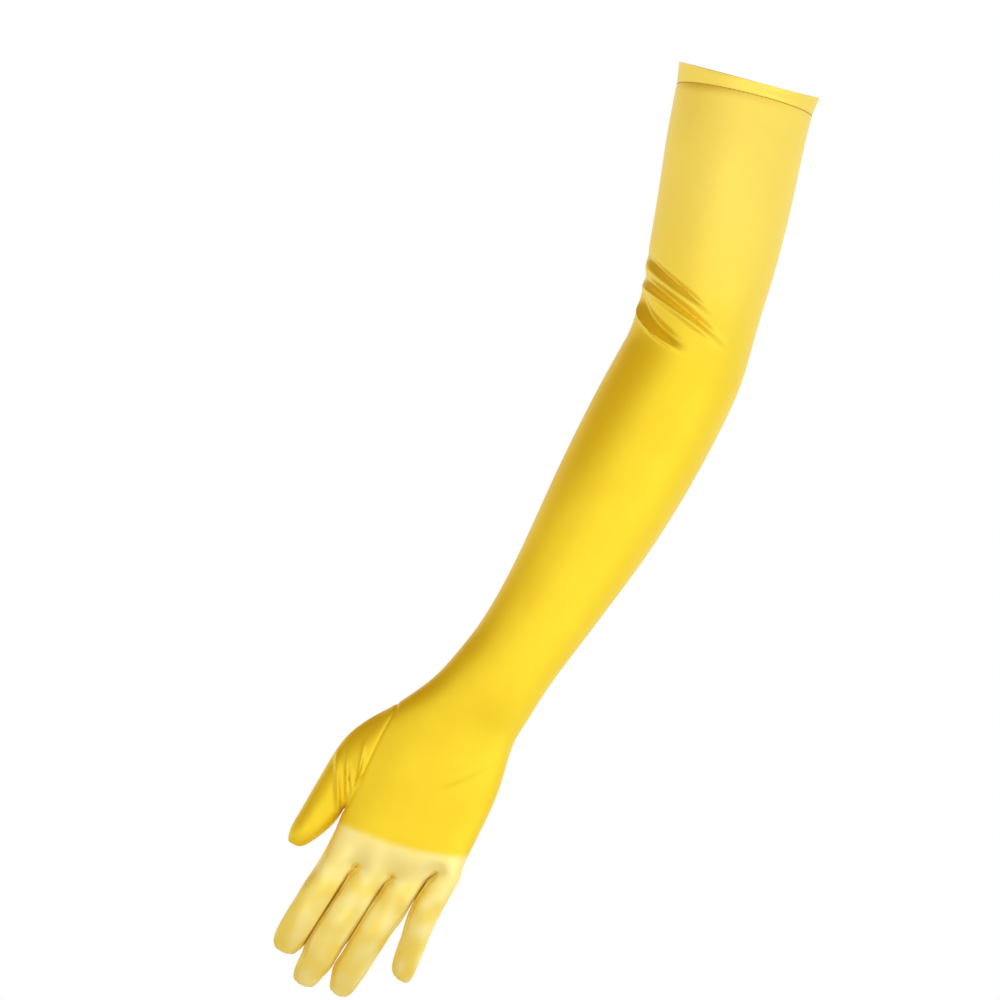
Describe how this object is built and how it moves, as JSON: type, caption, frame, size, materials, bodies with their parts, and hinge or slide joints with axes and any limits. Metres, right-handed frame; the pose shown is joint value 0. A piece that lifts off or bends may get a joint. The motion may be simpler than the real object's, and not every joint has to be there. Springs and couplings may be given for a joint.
{
  "type": "long satin glove",
  "caption": "Opera-length satin dress glove for the left hand, shaped as worn with a slightly bent elbow; open cuff, set-in thumb and fourchettes between the fingers.",
  "frame": {"origin": "centre of the cuff's opening, where the arm goes in", "axes": "+Z from the middle fingertip up to the centre of the cuff, -Y the way the back of the hand faces, -X the thumb's side"},
  "size_m": [0.109, 0.0733, 0.53],
  "materials": {
    "satin": "bright lemon-yellow woven satin with a soft gloss"
  },
  "bodies": {
    "root": {"sleeve": "satin", "trank": "satin", "thumb": "satin", "fourchette_index_middle": "satin", "fourchette_middle_ring": "satin", "fourchette_ring_little": "satin", "hem_band": "satin"}
  },
  "joints": []
}
